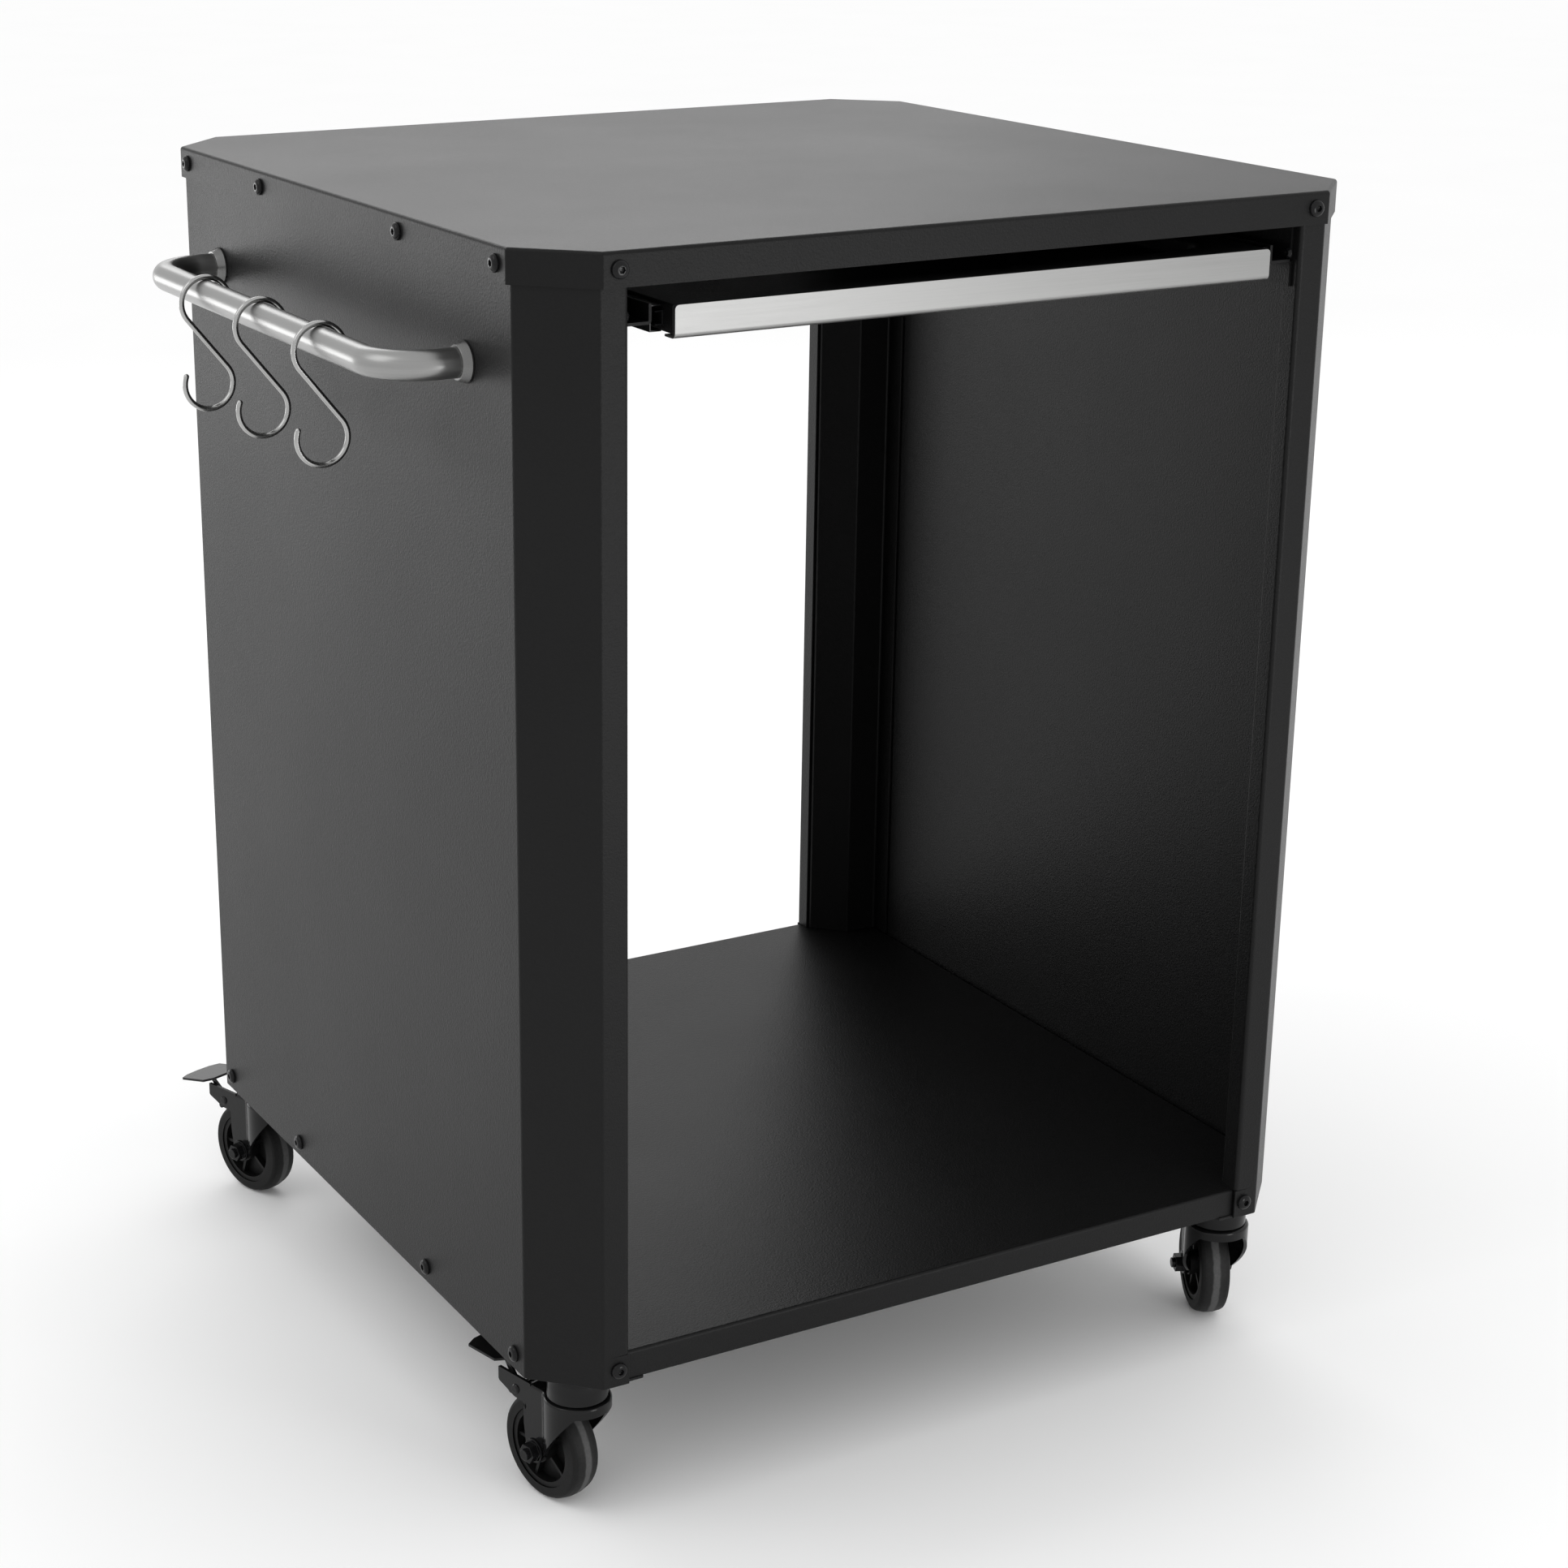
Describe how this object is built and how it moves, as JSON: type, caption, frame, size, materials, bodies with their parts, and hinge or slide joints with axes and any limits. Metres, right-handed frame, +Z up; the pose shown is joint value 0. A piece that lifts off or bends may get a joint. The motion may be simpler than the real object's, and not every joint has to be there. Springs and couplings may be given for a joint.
{
  "type": "outdoor kitchen cart",
  "caption": "Rolling outdoor kitchen cart of folded black sheet with a worktop, low shelf, shallow drawer, side handle with S hooks and swivel casters.",
  "frame": {"origin": "on the floor, under the middle of the worktop", "axes": "+Z up, +X to the cart's right seen from the front, -Y to the front where the drawer opens"},
  "size_m": [0.7332, 0.7126, 0.9],
  "materials": {
    "black_powder_coat": "fine-textured satin black powder coat",
    "gloss_black_caster": "glossy black electrocoat",
    "brushed_stainless": "brushed stainless steel",
    "black_fastener": "black zinc plated steel",
    "zinc_steel": "bright zinc plated steel",
    "wheel_core": "moulded black plastic",
    "rubber_tyre": "black rubber"
  },
  "bodies": {
    "cart": {"worktop": "black_powder_coat", "left_side_panel": "black_powder_coat", "right_side_panel": "black_powder_coat", "front_left_stiffener": "black_powder_coat", "rear_left_stiffener": "black_powder_coat", "front_right_stiffener": "black_powder_coat", "rear_right_stiffener": "black_powder_coat", "shelf": "black_powder_coat", "front_left_caster_plate": "black_powder_coat", "rear_left_caster_plate": "black_powder_coat", "front_right_caster_plate": "black_powder_coat", "rear_right_caster_plate": "black_powder_coat", "worktop_bolts": "black_fastener", "worktop_rivet_nuts": "zinc_steel", "shelf_bolts": "black_fastener", "shelf_rivet_nuts": "zinc_steel", "left_rail_bracket": "black_powder_coat", "right_rail_bracket": "black_powder_coat", "bracket_screws": "zinc_steel", "left_slide_rail": "zinc_steel", "right_slide_rail": "zinc_steel", "handle_bar": "brushed_stainless", "front_handle_ferrule": "brushed_stainless", "rear_handle_ferrule": "brushed_stainless", "handle_screws": "zinc_steel", "front_left_stem": "gloss_black_caster", "rear_left_stem": "gloss_black_caster", "front_right_stem": "gloss_black_caster", "rear_right_stem": "gloss_black_caster", "stem_nuts": "zinc_steel", "swivel_balls": "zinc_steel"},
    "drawer": {"drawer_tray": "black_powder_coat", "drawer_front": "brushed_stainless", "left_slide_runner": "zinc_steel", "right_slide_runner": "zinc_steel"},
    "left_cage": {"left_ball_cage": "zinc_steel"},
    "right_cage": {"right_ball_cage": "zinc_steel"},
    "hook_front": {"front_hook": "brushed_stainless"},
    "hook_middle": {"middle_hook": "brushed_stainless"},
    "hook_rear": {"rear_hook": "brushed_stainless"},
    "front_left_swivel": {"front_left_fork": "gloss_black_caster", "front_left_axle": "black_fastener", "front_left_pedal_pin": "zinc_steel"},
    "front_left_roller": {"front_left_wheel": "wheel_core", "front_left_tyre": "rubber_tyre"},
    "front_left_pedal": {"front_left_brake_pedal": "gloss_black_caster"},
    "rear_left_swivel": {"rear_left_fork": "gloss_black_caster", "rear_left_axle": "black_fastener", "rear_left_pedal_pin": "zinc_steel"},
    "rear_left_roller": {"rear_left_wheel": "wheel_core", "rear_left_tyre": "rubber_tyre"},
    "rear_left_pedal": {"rear_left_brake_pedal": "gloss_black_caster"},
    "front_right_swivel": {"front_right_fork": "gloss_black_caster", "front_right_axle": "black_fastener"},
    "front_right_roller": {"front_right_wheel": "wheel_core", "front_right_tyre": "rubber_tyre"},
    "rear_right_swivel": {"rear_right_fork": "gloss_black_caster", "rear_right_axle": "black_fastener"},
    "rear_right_roller": {"rear_right_wheel": "wheel_core", "rear_right_tyre": "rubber_tyre"}
  },
  "joints": [
    {"name": "drawer_slide", "type": "slide", "parent": "cart", "child": "drawer", "axis": [0, -1, 0], "range_m": [0, 0.4]},
    {"name": "left_cage_slide", "type": "slide", "parent": "cart", "child": "left_cage", "axis": [0, -1, 0], "range_m": [0, 0.2]},
    {"name": "right_cage_slide", "type": "slide", "parent": "cart", "child": "right_cage", "axis": [0, -1, 0], "range_m": [0, 0.2]},
    {"name": "front_hook_swing", "type": "hinge", "parent": "cart", "child": "hook_front", "pos_m": [-0.3801, -0.105, 0.8175], "axis": [0, 1, 0], "range_deg": [-28, 70]},
    {"name": "middle_hook_swing", "type": "hinge", "parent": "cart", "child": "hook_middle", "pos_m": [-0.3801, 0, 0.8175], "axis": [0, 1, 0], "range_deg": [-28, 70]},
    {"name": "rear_hook_swing", "type": "hinge", "parent": "cart", "child": "hook_rear", "pos_m": [-0.3801, 0.105, 0.8175], "axis": [0, 1, 0], "range_deg": [-28, 70]},
    {"name": "front_left_swivel_turn", "type": "hinge", "parent": "cart", "child": "front_left_swivel", "pos_m": [-0.2836, -0.2816, 0.0915], "axis": [0, 0, 1], "continuous": true},
    {"name": "front_left_wheel_turn", "type": "hinge", "parent": "front_left_swivel", "child": "front_left_roller", "pos_m": [-0.29037, -0.25443, 0.04], "axis": [-0.9703, -0.2419, 0], "continuous": true},
    {"name": "front_left_pedal_press", "type": "hinge", "parent": "front_left_swivel", "child": "front_left_pedal", "pos_m": [-0.29521, -0.23503, 0.081], "axis": [-0.9703, -0.2419, 0], "range_deg": [0, 14]},
    {"name": "rear_left_swivel_turn", "type": "hinge", "parent": "cart", "child": "rear_left_swivel", "pos_m": [-0.2836, 0.2816, 0.0915], "axis": [0, 0, 1], "continuous": true},
    {"name": "rear_left_wheel_turn", "type": "hinge", "parent": "rear_left_swivel", "child": "rear_left_roller", "pos_m": [-0.29272, 0.30807, 0.04], "axis": [-0.9455, -0.3256, 0], "continuous": true},
    {"name": "rear_left_pedal_press", "type": "hinge", "parent": "rear_left_swivel", "child": "rear_left_pedal", "pos_m": [-0.29923, 0.32699, 0.081], "axis": [-0.9455, -0.3256, 0], "range_deg": [-12.6, 1.4]},
    {"name": "front_right_swivel_turn", "type": "hinge", "parent": "cart", "child": "front_right_swivel", "pos_m": [0.2836, -0.2816, 0.0915], "axis": [0, 0, 1], "continuous": true},
    {"name": "front_right_wheel_turn", "type": "hinge", "parent": "front_right_swivel", "child": "front_right_roller", "pos_m": [0.29499, -0.25602, 0.04], "axis": [-0.9135, 0.4067, 0], "continuous": true},
    {"name": "rear_right_swivel_turn", "type": "hinge", "parent": "cart", "child": "rear_right_swivel", "pos_m": [0.2836, 0.2816, 0.0915], "axis": [0, 0, 1], "continuous": true},
    {"name": "rear_right_wheel_turn", "type": "hinge", "parent": "rear_right_swivel", "child": "rear_right_roller", "pos_m": [0.29085, 0.30865, 0.04], "axis": [-0.9659, 0.2588, 0], "continuous": true}
  ],
  "couplings": [
    {"joint": "left_cage_slide", "follows": "drawer_slide", "ratio": 0.5},
    {"joint": "right_cage_slide", "follows": "drawer_slide", "ratio": 0.5}
  ]
}
